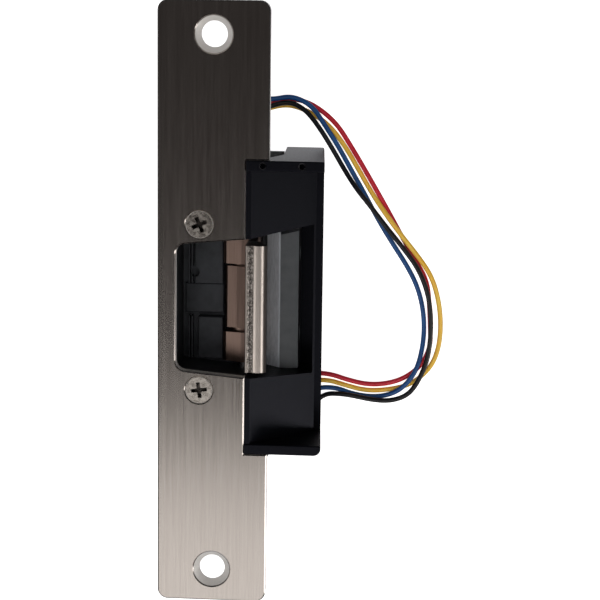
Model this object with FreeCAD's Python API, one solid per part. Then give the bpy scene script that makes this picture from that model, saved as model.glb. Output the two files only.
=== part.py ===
import FreeCAD, Part
import math
import os

# Electric door strike, millimetres.  The strike lies on its back: +Z is the faceplate's outward normal,
# +Y runs along the faceplate and +X points at the door, to the lip side.  The origin is the centre of the
# two jamb-screw holes on the faceplate's rear seating face, so depths below it are negative Z.

V = FreeCAD.Vector

# --- faceplate ---------------------------------------------------------------------------------------
PLATE_W = 31.75
PLATE_L = 174.625
PLATE_T = 3.0
PLATE_CORNER = 3.0
PLATE_EDGE_BREAK = 0.35
JAMB_PITCH = 155.575
JAMB_HOLE_R = 3.7
JAMB_SINK_R = 5.6
NOTCH_X = 9.2            # the plate ends here beside the hood
WINDOW_LEFT = -10.7
WINDOW_HALF_LEFT = 18.3  # half height of the latch window at its closed side
WINDOW_HALF_RIGHT = 20.2  # and where it opens into the hood
WINDOW_CORNER = 3.0
BODY_SCREW_X = -3.9
BODY_SCREW_Y = 24.1
BODY_SCREW_R = 2.0
BODY_SCREW_HEAD_R = 3.75
BODY_SCREW_SUNK = 0.25   # how far the heads lie below the plate's front
BODY_SINK_R = 4.3
BODY_SCREW_LENGTH = 11.0
SINK_ANGLE = math.radians(82.0)
SLOT_W = 1.1             # width of a cross recess
SEAT_GAP = 0.1           # between a loose piece and what it sits in
FIT_GAP = 0.05           # radial running fit of a pin
MOVE_GAP = 0.35          # between a moving piece and what it passes

# --- hood (the black lip shroud) ---------------------------------------------------------------------
HOOD_HALF = 42.7
HOOD_OUT = 31.5          # outer wall at the plate's front
HOOD_BACK_OUT = 29.2     # and at the hood's back, because the wall is drafted
HOOD_CAP = 3.0
HOOD_BACK = -34.0
HOOD_WALL = 1.6
HOOD_SKIN = 2.0
HOOD_TOP_CORNER = 0.5
HOOD_LOW_CORNER = 2.1
CAP_STEP = [(18.0, -34.0), (18.7, -13.2), (15.7, -6.3), (12.6, 0.4)]  # (x, z) of a cap's stepped inner side
SILL_Z = (-29.6, -27.6)  # the hood's floor between the saddle and the outer wall
RAMP_TOP_X = 10.8
RAMP_FOOT_X = 28.2
RAMP_DROP = 19.2         # how far the ramp falls below the plate's front
RECESS_HALF_OUT = 22.2   # half height of the hood's recess at its outer wall
RECESS_WALL = 1.6
REVEAL_GAP = 0.3         # between the hood's cheeks and what they pass
HOOD_LIP_T = 1.4         # thickness of the hood's edge beside the plate
HOOD_ROUND = 0.4
PIN_SPOTS = (14.0, 25.1)
ROLL_PIN_R = 1.1
ROLL_PIN_WALL = 0.3
ROLL_PIN_LENGTH = 2.4

# --- housing -----------------------------------------------------------------------------------------
BODY_LEFT = -13.0
BODY_RIGHT = 18.0
BODY_HALF = 43.0
BODY_BACK = -37.0
BODY_WALL = 2.0
END_WALL = 3.0
SHOULDER_Z = -19.2       # top of the housing's wide part, under the saddle
POCKET_FLOOR = -17.0
LAND_Z = -14.0
MIDDLE_LAND_Z = -16.0
LANDS = [((-7.3, 1.2), (4.1, 18.6), LAND_Z), ((-6.2, 1.2), (-18.4, -5.8), LAND_Z),
         ((-10.2, 1.2), (-4.9, 3.9), MIDDLE_LAND_Z)]   # blocks on the pocket's floor: x, y and top
RIB_X = (-9.1, -8.2)     # two thin ribs beside the blocks
RIB_T = 0.4
RIB_TOP = -14.6
LAND_ROUND = 0.4
LAND_NOTCH = (1.5, -7.3, 7.5)    # radius, x and y of the notch in the upper block
BODY_ROUND = 1.5
COVER_SCREW_LENGTH = 8.0
CAVITY_TOP = -21.7
CAVITY_LOW_Y = -19.0
COVER_BOSS_R = 2.5
COVER_SINK = 1.1
BODY_NECK_X = 13.0       # the housing narrows here to pass under the hood's ramps
BODY_NECK_Z = -9.0
BODY_NECK_RISE = 5.0     # from the neck up to the plate's edge
COVER_T = 1.5
COVER_LEDGE = 1.2
COVER_SCREW_R = 1.25
COVER_SCREW_HEAD_R = 2.2

# --- saddle (the grey ramp block in the hood's recess) -----------------------------------------------
SADDLE_LEFT = 13.8
SADDLE_RIGHT = 23.1
SADDLE_RIDGE_X = 17.8
SADDLE_RIDGE_HALF = 0.3  # half width of the ridge's flat
SADDLE_RIDGE_Z = -15.7
SADDLE_EDGE_Z = -17.4
SADDLE_Y = (-21.4, 20.4)
SADDLE_FOOT = -27.0
SADDLE_STEP = 3.8        # length of the lower land at its bottom end
SADDLE_BEVEL = 1.5       # length of the bevel at its top end
SADDLE_BEVEL_DROP = 2.6
SADDLE_DROP = 0.5        # how far the lower land lies below the rest
SADDLE_SCREW_SINK = 1.6
SADDLE_SCREW_Y = 12.0
SADDLE_SCREW_Z = -23.2
SADDLE_SCREW_R = 1.25
SADDLE_SCREW_HEAD_R = 2.3

# --- keeper ------------------------------------------------------------------------------------------
KEEPER_HALF = 18.4
KEEPER_AXIS = (7.5, -14.5)
KEEPER_PIN_R = 2.0
KEEPER_PIN_HALF = 25.0
KEEPER_HUB_R = 4.6
KEEPER_OPEN = 66.0
NOSE_LEFT = 9.3
NOSE_RIGHT = 15.4
NOSE_PROUD = 0.6
LEDGE_X = 1.7            # the lugs' far side
LUG_TOP = (11.1, 18.4)
LUG_LOW = (-17.8, -9.2)
WEB_MID = (-7.9, 10.3)
TAIL_R = 10.2
TAIL_HALF = 1.7
TAIL_ANGLE = 25.0
TAIL_Y = (-2.4, 1.4)
BUSH_WALL = 0.8
SPRING_BAY = (4.2, 9.8)
BAY_R = 4.1
KEEPER_SPRING_R = 3.0
KEEPER_SPRING_WIRE = 0.6

# --- lock: lever, plunger and solenoid ---------------------------------------------------------------
LOCK_X = 6.5
LOCK_Z = -28.4
PLUNGER_TRAVEL = 2.2
LEVER_ARM = 5.0
LEVER_Y = 6.0
LEVER_Z = LOCK_Z - LEVER_ARM
LEVER_T = 2.4
LEVER_PIN_R = 0.9
LEVER_PIN_LEFT = -12.2   # the pin's blind end in the housing
LEVER_HUB_R = 1.85
TOE_LEFT = 5.2
TOE_RIGHT = 8.3
TOE_Y = (-6.2, -2.8)
TOE_TOP = -25.5
PLUNGER_R = 2.4
PLUNGER_COLLAR_R = 4.0
PLUNGER_COLLAR_T = 1.2
PLUNGER_COLLAR_Y = 9.2
CROSS_PIN_R = 0.75
FORK_GAP = 3.1
FRAME_Y = (14.6, 34.8)
FRAME_HALF = 6.5
FRAME_T = 1.4
COIL_R = 4.65
TAPE_T = 0.3
BOBBIN_R = 5.1
BOBBIN_WALL = 0.6
BOBBIN_FLANGE = 1.0
CORE_LENGTH = 8.0
CORE_RIVET_R = 1.5
SPRING_WIRE = 0.5
SPRING_TURNS = 3

# --- leads -------------------------------------------------------------------------------------------
LEAD_D = 1.5
LEAD_TIP_R = 0.45
LEAD_TIP_LENGTH = 6.0
GROMMET_Z = -31.0
GROMMET_X = 4.4
GROMMET_HALF_X = 3.9
GROMMET_HALF_Z = 1.7
GROMMET_PROUD = 1.0
LEAD_PITCH = 1.9
BOARD_T = 1.2
ARC_SHARE = 0.45

LAY = BODY_BACK + LEAD_D / 2    # centre of a lead that lies on the surface
OVER = LAY + 2.1                # and where it rides over another lead

# Points of each lead from the grommet on: out of the housing, round under the plate, over and back in a
# loose loop beside the hood, under the hood's wall and out below the plate's lower half.
ROUTES = {
    "blue": [
        (1.55, 47.5, GROMMET_Z), (3.4, 54.0, -31.8), (8.0, 57.4, -33.4), (13.3, 56.7, OVER),
        (19.3, 58.0, OVER), (25.3, 55.2, OVER), (29.2, 49.4, OVER), (33.4, 42.8, -35.4), (37.2, 35.9, LAY),
        (41.4, 28.7, LAY), (45.3, 21.5, LAY), (49.8, 14.3, LAY), (54.5, 7.3, LAY), (57.8, 1.2, LAY),
        (59.8, -5.8, LAY), (60.4, -13.2, LAY), (59.6, -20.2, -35.3), (57.9, -25.6, OVER),
        (54.3, -30.4, OVER), (49.9, -33.1, -35.25), (44.6, -34.0, LAY), (38.7, -33.2, LAY),
        (33.5, -31.3, LAY), (27.4, -31.6, LAY), (24.2, -35.6, LAY), (22.8, -41.0, LAY), (19.9, -45.4, LAY),
        (14.4, -48.0, LAY), (9.6, -52.0, LAY), (7.6, -58.6, LAY), (7.2, -66.8, LAY)],
    "red": [
        (3.45, 47.5, GROMMET_Z), (5.4, 53.4, -33.6), (13.1, 56.3, LAY), (19.1, 57.1, LAY),
        (25.4, 55.5, LAY), (32.3, 50.2, LAY), (37.0, 43.1, LAY), (41.4, 35.9, LAY), (45.6, 28.8, LAY),
        (49.6, 21.9, LAY), (53.6, 14.7, LAY), (57.5, 8.3, LAY), (60.8, 2.6, LAY), (61.7, -4.5, LAY),
        (62.1, -11.3, LAY), (62.4, -17.5, LAY), (60.1, -23.2, LAY), (55.5, -27.4, LAY), (50.0, -29.6, LAY),
        (43.6, -30.2, LAY), (37.4, -28.9, LAY), (31.5, -27.0, LAY), (24.6, -27.0, LAY), (20.2, -32.0, LAY),
        (19.4, -39.6, LAY), (15.6, -43.4, LAY), (8.8, -46.0, LAY), (4.2, -50.6, LAY), (2.4, -56.0, LAY),
        (1.8, -60.4, LAY)],
    "yellow": [
        (5.35, 47.5, GROMMET_Z), (7.8, 52.2, -34.4), (13.2, 54.4, LAY), (18.6, 55.2, LAY),
        (24.0, 53.3, LAY), (30.1, 49.6, LAY), (35.2, 43.1, LAY), (39.5, 35.9, LAY), (43.7, 28.8, -36.0),
        (48.5, 22.2, OVER), (53.1, 16.2, OVER), (58.1, 10.2, OVER), (62.3, 4.2, OVER), (64.6, -3.6, -35.2),
        (65.4, -11.5, LAY), (64.8, -18.7, LAY), (62.4, -24.6, LAY), (56.9, -29.7, LAY), (50.0, -31.6, LAY),
        (43.0, -32.1, LAY), (36.8, -30.6, LAY), (31.3, -29.0, LAY), (25.6, -29.4, LAY), (22.2, -34.0, LAY),
        (21.0, -40.2, LAY), (17.6, -44.6, LAY), (11.4, -47.2, LAY), (6.9, -51.4, LAY), (5.0, -57.8, LAY),
        (4.5, -63.8, LAY)],
    "black": [
        (7.25, 47.5, GROMMET_Z), (9.4, 53.0, -32.4), (13.3, 55.0, OVER), (18.7, 56.2, OVER),
        (23.2, 54.0, OVER), (27.0, 49.5, OVER), (31.2, 42.8, -35.4), (35.2, 35.8, LAY), (39.0, 30.4, OVER),
        (43.2, 25.4, OVER), (47.9, 19.4, OVER), (53.4, 12.8, OVER), (58.0, 6.8, OVER), (61.1, -0.4, OVER),
        (62.3, -7.8, OVER), (62.3, -15.5, OVER), (61.4, -22.1, OVER), (58.7, -28.7, OVER),
        (55.6, -32.9, OVER), (50.2, -34.7, OVER), (44.7, -34.4, OVER), (39.7, -33.4, OVER),
        (35.1, -33.0, -35.0), (30.4, -33.4, LAY), (26.8, -36.6, LAY), (25.2, -41.8, LAY),
        (22.0, -46.7, LAY), (16.4, -49.3, LAY), (12.0, -53.0, LAY), (10.1, -60.2, LAY), (9.6, -76.0, LAY)],
}

FRONT = PLATE_T
HOOD_LEFT = NOTCH_X + SEAT_GAP
HOOD_INNER = HOOD_BACK_OUT - HOOD_WALL
AXIS_X, AXIS_Z = KEEPER_AXIS


# --- shapes ------------------------------------------------------------------------------------------
def box(x, y, z):
    """Block between the low and high value of each axis."""
    return Part.makeBox(x[1] - x[0], y[1] - y[0], z[1] - z[0], V(x[0], y[0], z[0]))


def prism_y(outline, y):
    """Prism along Y of a closed (x, z) outline."""
    wire = Part.makePolygon([V(px, y[0], pz) for px, pz in outline + outline[:1]])
    return Part.Face(wire).extrude(V(0, y[1] - y[0], 0))


def prism_z(outline, z):
    """Prism along Z of a closed (x, y) outline."""
    wire = Part.makePolygon([V(px, py, z[0]) for px, py in outline + outline[:1]])
    return Part.Face(wire).extrude(V(0, 0, z[1] - z[0]))


def rod(radius, start, end):
    """Round bar between two points."""
    axis = V(*end) - V(*start)
    return Part.makeCylinder(radius, axis.Length, V(*start), axis)


def tube(outer, inner, start, end):
    return rod(outer, start, end).cut(rod(inner, start, end))


def soften(shape, radius, wanted, chamfer=False):
    """Round or break the edges that wanted(edge) picks."""
    edges = [edge for edge in shape.Edges if wanted(edge)]
    return shape.makeChamfer(radius, edges) if chamfer else shape.makeFillet(radius, edges)


def is_along(edge, axis):
    """True for a straight edge along X, Y or Z (0, 1 or 2)."""
    if len(edge.Vertexes) != 2:
        return False
    step = edge.Vertexes[1].Point - edge.Vertexes[0].Point
    return abs(step[axis]) > 0.999 * step.Length and abs(edge.Length - step.Length) < 1e-6


def flared(half_left, half_right, left, right, grow=0.0):
    """Outline in XY that opens towards the door, as the latch window and the hood's recess do."""
    low, high = half_left + grow, half_right + grow
    return [(left, -low), (right, -high), (right, high), (left, low)]


def window_half(x):
    """Half height of the latch way at x, from its closed side out to the hood's wall."""
    if x <= HOOD_LEFT:
        share = (x - WINDOW_LEFT) / (HOOD_LEFT - WINDOW_LEFT)
        return WINDOW_HALF_LEFT + share * (WINDOW_HALF_RIGHT - WINDOW_HALF_LEFT)
    share = (x - HOOD_LEFT) / (HOOD_INNER - HOOD_LEFT)
    return WINDOW_HALF_RIGHT + share * (RECESS_HALF_OUT - WINDOW_HALF_RIGHT)


def cross_recess(length, depth, top):
    """The cross in a screw's head, centred on the Z axis: four wings that run in to a blunt middle."""
    half = SLOT_W / 2
    span = (top - depth, top + 0.01)
    bar = box((-length / 2, length / 2), (-half, half), span)
    cross = bar.fuse(box((-half, half), (-length / 2, length / 2), span))
    taper = Part.makeCone(0.3 * length, 0.5 * length, depth + 0.01, V(0, 0, top - depth))
    middle = Part.makeCone(0.1, 0.85 * SLOT_W, 1.25 * depth + 0.01, V(0, 0, top - 1.25 * depth))
    return cross.common(taper).fuse(middle)


def flat_screw(head_r, shank_r, length, top):
    """Countersunk screw along Z with its head's face at top."""
    sink = (head_r - shank_r) / math.tan(SINK_ANGLE / 2)
    rim = 0.25
    head = Part.makeCone(shank_r, head_r, sink, V(0, 0, top - rim - sink))
    head = head.fuse(rod(head_r, (0, 0, top - rim), (0, 0, top)))
    shank = rod(shank_r, (0, 0, top - length), (0, 0, top - rim - sink))
    return head.fuse(shank).cut(cross_recess(1.25 * head_r, 0.42 * head_r, top)).removeSplitter()


def pan_screw(head_r, shank_r, length, head_t=1.3):
    """Pan-head screw that points up, its head's underside at z = 0."""
    head = soften(rod(head_r, (0, 0, -head_t), (0, 0, 0)), 0.4 * head_t,
                  lambda edge: edge.BoundBox.ZMax < -head_t + 0.01)
    screw = head.fuse(rod(shank_r, (0, 0, 0), (0, 0, length)))
    cross = cross_recess(1.1 * head_r, 0.6, 0).mirror(V(0, 0, 0), V(0, 0, 1))
    cross.translate(V(0, 0, -head_t))
    return screw.cut(cross)


def placed(shape, x=0.0, y=0.0, z=0.0, turn=0.0, axis=V(0, 0, 1)):
    """A copy of the shape, turned about an axis through the origin and then moved."""
    copy = shape.copy()
    copy.rotate(V(0, 0, 0), axis, turn)
    copy.translate(V(x, y, z))
    return copy


# --- faceplate and its screws ------------------------------------------------------------------------
def faceplate():
    half_w, half_l = PLATE_W / 2, PLATE_L / 2
    plate = box((-half_w, half_w), (-half_l, half_l), (0, PLATE_T))
    plate = soften(plate, PLATE_CORNER, lambda edge: is_along(edge, 2))
    notch_half = HOOD_HALF + SEAT_GAP
    plate = plate.cut(box((NOTCH_X, PLATE_W), (-notch_half, notch_half), (-1, PLATE_T + 1)))
    outline = flared(WINDOW_HALF_LEFT, WINDOW_HALF_RIGHT, WINDOW_LEFT, NOTCH_X + 1)
    window = prism_z(outline, (-1, PLATE_T + 1))
    window = soften(window, WINDOW_CORNER,
                    lambda edge: is_along(edge, 2) and edge.BoundBox.XMin < WINDOW_LEFT + 0.1)
    plate = plate.cut(window)
    plate = soften(plate, PLATE_EDGE_BREAK, lambda edge: edge.BoundBox.ZMin > PLATE_T - 0.01, True)
    for side in (-1, 1):
        sink = (JAMB_SINK_R - JAMB_HOLE_R) / math.tan(SINK_ANGLE / 2)
        y = side * JAMB_PITCH / 2
        plate = plate.cut(rod(JAMB_HOLE_R, (0, y, -1), (0, y, PLATE_T + 1)))
        plate = plate.cut(Part.makeCone(JAMB_HOLE_R, JAMB_SINK_R, sink, V(0, y, PLATE_T - sink)))
        hole_r = BODY_SCREW_R + SEAT_GAP
        sink = (BODY_SINK_R - hole_r) / math.tan(SINK_ANGLE / 2)
        x, y = BODY_SCREW_X, side * BODY_SCREW_Y
        plate = plate.cut(rod(hole_r, (x, y, -1), (x, y, PLATE_T + 1)))
        plate = plate.cut(Part.makeCone(hole_r, BODY_SINK_R, sink, V(x, y, PLATE_T - sink)))
    return plate


def body_screws():
    screw = flat_screw(BODY_SCREW_HEAD_R, BODY_SCREW_R, BODY_SCREW_LENGTH,
                       PLATE_T - BODY_SCREW_SUNK)
    spots = ((BODY_SCREW_Y, 24.0), (-BODY_SCREW_Y, 8.0))
    return [placed(screw, BODY_SCREW_X, y, 0, turn) for y, turn in spots]


# --- hood --------------------------------------------------------------------------------------------
def ramp_line():
    """The ramp's top line in (x, z), from the plate's edge to its foot."""
    return [(HOOD_LEFT, FRONT - 0.4), (RAMP_TOP_X, FRONT - 0.4), (RAMP_FOOT_X, FRONT - RAMP_DROP)]


def hood_out(z):
    """X of the drafted outer wall at depth z."""
    share = (FRONT - z) / (FRONT - HOOD_BACK)
    return HOOD_OUT + share * (HOOD_BACK_OUT - HOOD_OUT)


def hood_shell():
    """Section of the ramp and the outer wall in (x, z)."""
    top = ramp_line()
    slope = (top[1][1] - top[2][1]) / (RAMP_FOOT_X - RAMP_TOP_X)
    under = HOOD_SKIN * math.sqrt(1 + slope * slope)
    land = FRONT - RAMP_DROP
    under_foot = RAMP_FOOT_X - (under - HOOD_SKIN) / slope
    under_left = land - HOOD_SKIN + slope * (under_foot - HOOD_LEFT)
    return top + [(hood_out(land), land), (HOOD_BACK_OUT, HOOD_BACK), (HOOD_INNER, HOOD_BACK),
                  (HOOD_INNER, land - HOOD_SKIN), (under_foot, land - HOOD_SKIN),
                  (HOOD_LEFT, min(under_left, FRONT - HOOD_LIP_T))]


def hood_reveal():
    """Section of the cheeks that close the ramp's ends beside the latch way, in (x, z)."""
    beside, above = SADDLE_RIGHT + REVEAL_GAP, SHOULDER_Z + REVEAL_GAP
    neck = BODY_NECK_X + REVEAL_GAP
    return ramp_line() + [(HOOD_INNER, FRONT - RAMP_DROP), (HOOD_INNER, SILL_Z[0]), (beside, SILL_Z[0]),
                          (beside, above), (neck, above), (neck, BODY_NECK_Z + REVEAL_GAP),
                          (HOOD_LEFT, BODY_NECK_Z + BODY_NECK_RISE + REVEAL_GAP)]


def hood_cap(side):
    """End cap on the side +1 or -1, stepped round the housing."""
    inner = HOOD_HALF - HOOD_CAP
    y = (inner, HOOD_HALF) if side > 0 else (-HOOD_HALF, -inner)
    outline = [(HOOD_LEFT, FRONT), (HOOD_OUT, FRONT), (HOOD_BACK_OUT, HOOD_BACK)] + CAP_STEP
    cap = prism_y(outline + [(HOOD_LEFT, CAP_STEP[-1][1])], y)
    outer_y = side * HOOD_HALF
    cap = soften(cap, HOOD_TOP_CORNER if side > 0 else HOOD_LOW_CORNER,
                 lambda edge: abs(edge.BoundBox.YMin - outer_y) < 0.1 and edge.BoundBox.YLength < 0.1
                 and edge.BoundBox.XMin > HOOD_BACK_OUT - 0.1)
    return soften(cap, HOOD_ROUND, lambda edge: edge.BoundBox.ZMin > FRONT - 0.01
                  and edge.BoundBox.XMax > HOOD_LEFT + 0.1)


def trim_hood():
    inner = HOOD_HALF - HOOD_CAP
    hood = prism_y(hood_shell(), (-inner, inner))
    cheeks = prism_z(flared(WINDOW_HALF_RIGHT, RECESS_HALF_OUT, HOOD_LEFT, HOOD_INNER, RECESS_WALL),
                     (HOOD_BACK, FRONT))
    hood = hood.fuse(prism_y(hood_reveal(), (-inner, inner)).common(cheeks))
    hood = hood.cut(prism_z(flared(WINDOW_HALF_RIGHT, RECESS_HALF_OUT, HOOD_LEFT, HOOD_INNER),
                            (HOOD_BACK - 1, FRONT + 1)))
    sill_half = RECESS_HALF_OUT + 2 * RECESS_WALL
    hood = hood.fuse(box((BODY_RIGHT + SEAT_GAP, HOOD_INNER + 0.1), (-sill_half, sill_half), SILL_Z))
    for side in (-1, 1):
        hood = hood.fuse(hood_cap(side))
    for x in PIN_SPOTS:
        y = HOOD_HALF - HOOD_CAP / 2
        hood = hood.cut(rod(ROLL_PIN_R, (x, y, FRONT - ROLL_PIN_LENGTH), (x, y, FRONT + 1)))
    return hood.removeSplitter()


def roll_pins():
    y = HOOD_HALF - HOOD_CAP / 2
    pins = []
    for x in PIN_SPOTS:
        pin = tube(ROLL_PIN_R, ROLL_PIN_R - ROLL_PIN_WALL, (x, y, FRONT - ROLL_PIN_LENGTH), (x, y, FRONT))
        pins.append(pin.cut(box((x, x + 2 * ROLL_PIN_R), (y - 0.25, y + 0.25),
                                (FRONT - ROLL_PIN_LENGTH - 1, FRONT + 1))))
    return pins


# --- housing and cover -------------------------------------------------------------------------------
def cover_spots():
    """Centres of the back cover's four screws."""
    inset = 2.6
    low_y, high_y = CAVITY_LOW_Y + inset, BODY_HALF - END_WALL - inset
    xs = (BODY_LEFT + BODY_WALL + inset, BODY_RIGHT - BODY_WALL - inset)
    return [(x, y) for x in xs for y in (low_y, high_y)]


def lead_spots():
    """X of each lead where it passes the grommet."""
    return {name: GROMMET_X + (i - 1.5) * LEAD_PITCH for i, name in enumerate(ROUTES)}


def grommet_hole(grow, y):
    half_x, half_z = GROMMET_HALF_X + grow, GROMMET_HALF_Z + grow
    block = box((GROMMET_X - half_x, GROMMET_X + half_x), y, (GROMMET_Z - half_z, GROMMET_Z + half_z))
    return soften(block, 0.8 * half_z, lambda edge: is_along(edge, 1))


def body_housing():
    main = box((BODY_LEFT, HOOD_LEFT - 0.5), (-BODY_HALF, BODY_HALF), (BODY_BACK, 0))
    main = soften(main, BODY_ROUND, lambda edge: is_along(edge, 2) and edge.BoundBox.XMin < BODY_LEFT + 0.1)
    side = [(HOOD_LEFT - 0.6, BODY_NECK_Z + BODY_NECK_RISE), (BODY_NECK_X, BODY_NECK_Z),
            (BODY_NECK_X, SHOULDER_Z), (BODY_RIGHT, SHOULDER_Z), (BODY_RIGHT, BODY_BACK),
            (HOOD_LEFT - 0.6, BODY_BACK)]
    side_half = HOOD_HALF - HOOD_CAP - 2 * SEAT_GAP
    body = main.fuse(prism_y(side, (-side_half, side_half)))
    pocket_right = BODY_NECK_X + 1
    hub_left = LEDGE_X - SEAT_GAP - MOVE_GAP
    outline = flared(window_half(WINDOW_LEFT) + 0.3, window_half(pocket_right) + 0.3,
                     WINDOW_LEFT - 0.2, pocket_right)
    body = body.cut(prism_z(outline, (POCKET_FLOOR, 1)))
    for x, y, top in LANDS:
        land = soften(box(x, y, (POCKET_FLOOR - 0.5, top)), LAND_ROUND,
                      lambda edge: edge.BoundBox.ZMin > top - 0.01)
        body = body.fuse(land)
    for x in RIB_X:
        for _, y, _ in LANDS[:2]:
            body = body.fuse(box((x, x + RIB_T), y, (POCKET_FLOOR - 0.5, RIB_TOP)))
    notch_r, x, y = LAND_NOTCH
    body = body.cut(rod(notch_r, (x, y, POCKET_FLOOR), (x, y, 0)))
    hub = KEEPER_HUB_R + 0.5
    hub_half = KEEPER_HALF + 0.4
    body = body.cut(box((hub_left, AXIS_X + hub), (-hub_half, hub_half), (AXIS_Z - hub, 0)))
    body = body.cut(rod(KEEPER_PIN_R, (AXIS_X, -BODY_HALF - 1, AXIS_Z), (AXIS_X, KEEPER_PIN_HALF, AXIS_Z)))
    cavity_x = (BODY_LEFT + BODY_WALL, BODY_RIGHT - BODY_WALL)
    cavity_y = (CAVITY_LOW_Y, BODY_HALF - END_WALL)
    cavity = box(cavity_x, cavity_y, (BODY_BACK - 1, CAVITY_TOP))
    for x, y in cover_spots():
        cavity = cavity.cut(rod(COVER_BOSS_R, (x, y, BODY_BACK - 1), (x, y, CAVITY_TOP)))
    body = body.cut(cavity)
    swing = TAIL_R + 1.0
    body = body.cut(box((AXIS_X - swing * math.sin(math.radians(KEEPER_OPEN - TAIL_ANGLE)) - 1.6,
                         AXIS_X + KEEPER_HUB_R + 0.9), (TAIL_Y[0] - 0.4, TAIL_Y[1] + 0.4),
                        (CAVITY_TOP - 1, POCKET_FLOOR - 1)))
    grow = COVER_LEDGE
    body = body.cut(box((cavity_x[0] - grow, cavity_x[1] + grow), (cavity_y[0] - grow, cavity_y[1] + grow),
                        (BODY_BACK - 1, BODY_BACK + COVER_T)))
    for x, y in cover_spots():
        body = body.cut(rod(COVER_SCREW_R, (x, y, BODY_BACK), (x, y, BODY_BACK + COVER_SCREW_LENGTH)))
    for x, y, z in solenoid_screw_spots():
        body = body.cut(rod(COVER_SCREW_R, (x, y, z - 1), (x, y, z + 3.4)))
    for side in (-1, 1):
        y = side * BODY_SCREW_Y
        body = body.cut(rod(BODY_SCREW_R, (BODY_SCREW_X, y, -BODY_SCREW_LENGTH), (BODY_SCREW_X, y, 1)))
        y = side * SADDLE_SCREW_Y
        body = body.cut(rod(SADDLE_SCREW_R, (BODY_RIGHT - 3, y, SADDLE_SCREW_Z),
                            (BODY_RIGHT + 1, y, SADDLE_SCREW_Z)))
    body = body.cut(rod(LEVER_PIN_R, (LEVER_PIN_LEFT, LEVER_Y, LEVER_Z), (BODY_RIGHT + 1, LEVER_Y, LEVER_Z)))
    body = body.cut(grommet_hole(0.0, (BODY_HALF - END_WALL - 1, BODY_HALF + 1)))
    return body.removeSplitter()


def back_cover():
    gap = COVER_LEDGE - SEAT_GAP
    x = (BODY_LEFT + BODY_WALL - gap, BODY_RIGHT - BODY_WALL + gap)
    y = (CAVITY_LOW_Y - gap, BODY_HALF - END_WALL + gap)
    cover = box(x, y, (BODY_BACK, BODY_BACK + COVER_T))
    for px, py in cover_spots():
        cover = cover.cut(rod(COVER_SCREW_R, (px, py, BODY_BACK - 1), (px, py, BODY_BACK + 3)))
        cover = cover.cut(Part.makeCone(COVER_SCREW_HEAD_R, COVER_SCREW_R, COVER_SINK,
                                        V(px, py, BODY_BACK)))
    return cover


def cover_screws():
    head = Part.makeCone(COVER_SCREW_HEAD_R, COVER_SCREW_R, COVER_SINK, V(0, 0, 0))
    screw = head.fuse(rod(COVER_SCREW_R, (0, 0, COVER_SINK), (0, 0, COVER_SCREW_LENGTH)))
    screw = screw.cut(cross_recess(2.4, 0.6, 0).mirror(V(0, 0, 0), V(0, 0, 1)))
    return [placed(screw, x, y, BODY_BACK, 20 * i) for i, (x, y) in enumerate(cover_spots())]


# --- saddle ------------------------------------------------------------------------------------------
def saddle():
    outline = [(SADDLE_LEFT, SHOULDER_Z), (SADDLE_LEFT, SADDLE_EDGE_Z),
               (SADDLE_RIDGE_X - SADDLE_RIDGE_HALF, SADDLE_RIDGE_Z),
               (SADDLE_RIDGE_X + SADDLE_RIDGE_HALF, SADDLE_RIDGE_Z),
               (SADDLE_RIGHT, SADDLE_EDGE_Z), (SADDLE_RIGHT, SADDLE_FOOT), (BODY_RIGHT, SADDLE_FOOT),
               (BODY_RIGHT, SHOULDER_Z)]
    low, high = SADDLE_Y
    step_y = low + SADDLE_STEP
    lower = [(x, z - SADDLE_DROP if z > SHOULDER_Z else z) for x, z in outline]
    block = prism_y(outline, (step_y, high)).fuse(prism_y(lower, (low, step_y)))
    ends = [window_half(x) - SEAT_GAP for x in (SADDLE_LEFT, SADDLE_RIGHT)]
    block = block.common(prism_z(flared(*ends, SADDLE_LEFT, SADDLE_RIGHT), (SADDLE_FOOT, SADDLE_RIDGE_Z)))
    start, drop = high - SADDLE_BEVEL, SADDLE_BEVEL_DROP
    x, top = SADDLE_RIDGE_X, SADDLE_RIDGE_Z
    wedge = Part.makePolygon([V(x, start, top), V(x, high, top - drop), V(x, high, top), V(x, start, top)])
    block = block.cut(Part.Face(wedge).extrude(V(SADDLE_RIGHT - x, 0, 0)))
    for side in (-1, 1):
        y = side * SADDLE_SCREW_Y
        seat = SADDLE_RIGHT - SADDLE_SCREW_SINK
        block = block.cut(rod(SADDLE_SCREW_R, (BODY_RIGHT - 1, y, SADDLE_SCREW_Z),
                              (SADDLE_RIGHT + 1, y, SADDLE_SCREW_Z)))
        block = block.cut(rod(SADDLE_SCREW_HEAD_R + 0.2, (seat, y, SADDLE_SCREW_Z),
                              (SADDLE_RIGHT + 1, y, SADDLE_SCREW_Z)))
    return block.removeSplitter()


def saddle_screws():
    head_seat = SADDLE_RIGHT - SADDLE_SCREW_SINK
    screw = pan_screw(SADDLE_SCREW_HEAD_R, SADDLE_SCREW_R, head_seat - BODY_RIGHT + 3)
    return [placed(screw, head_seat, side * SADDLE_SCREW_Y, SADDLE_SCREW_Z, -90, V(0, 1, 0))
            for side in (-1, 1)]


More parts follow.
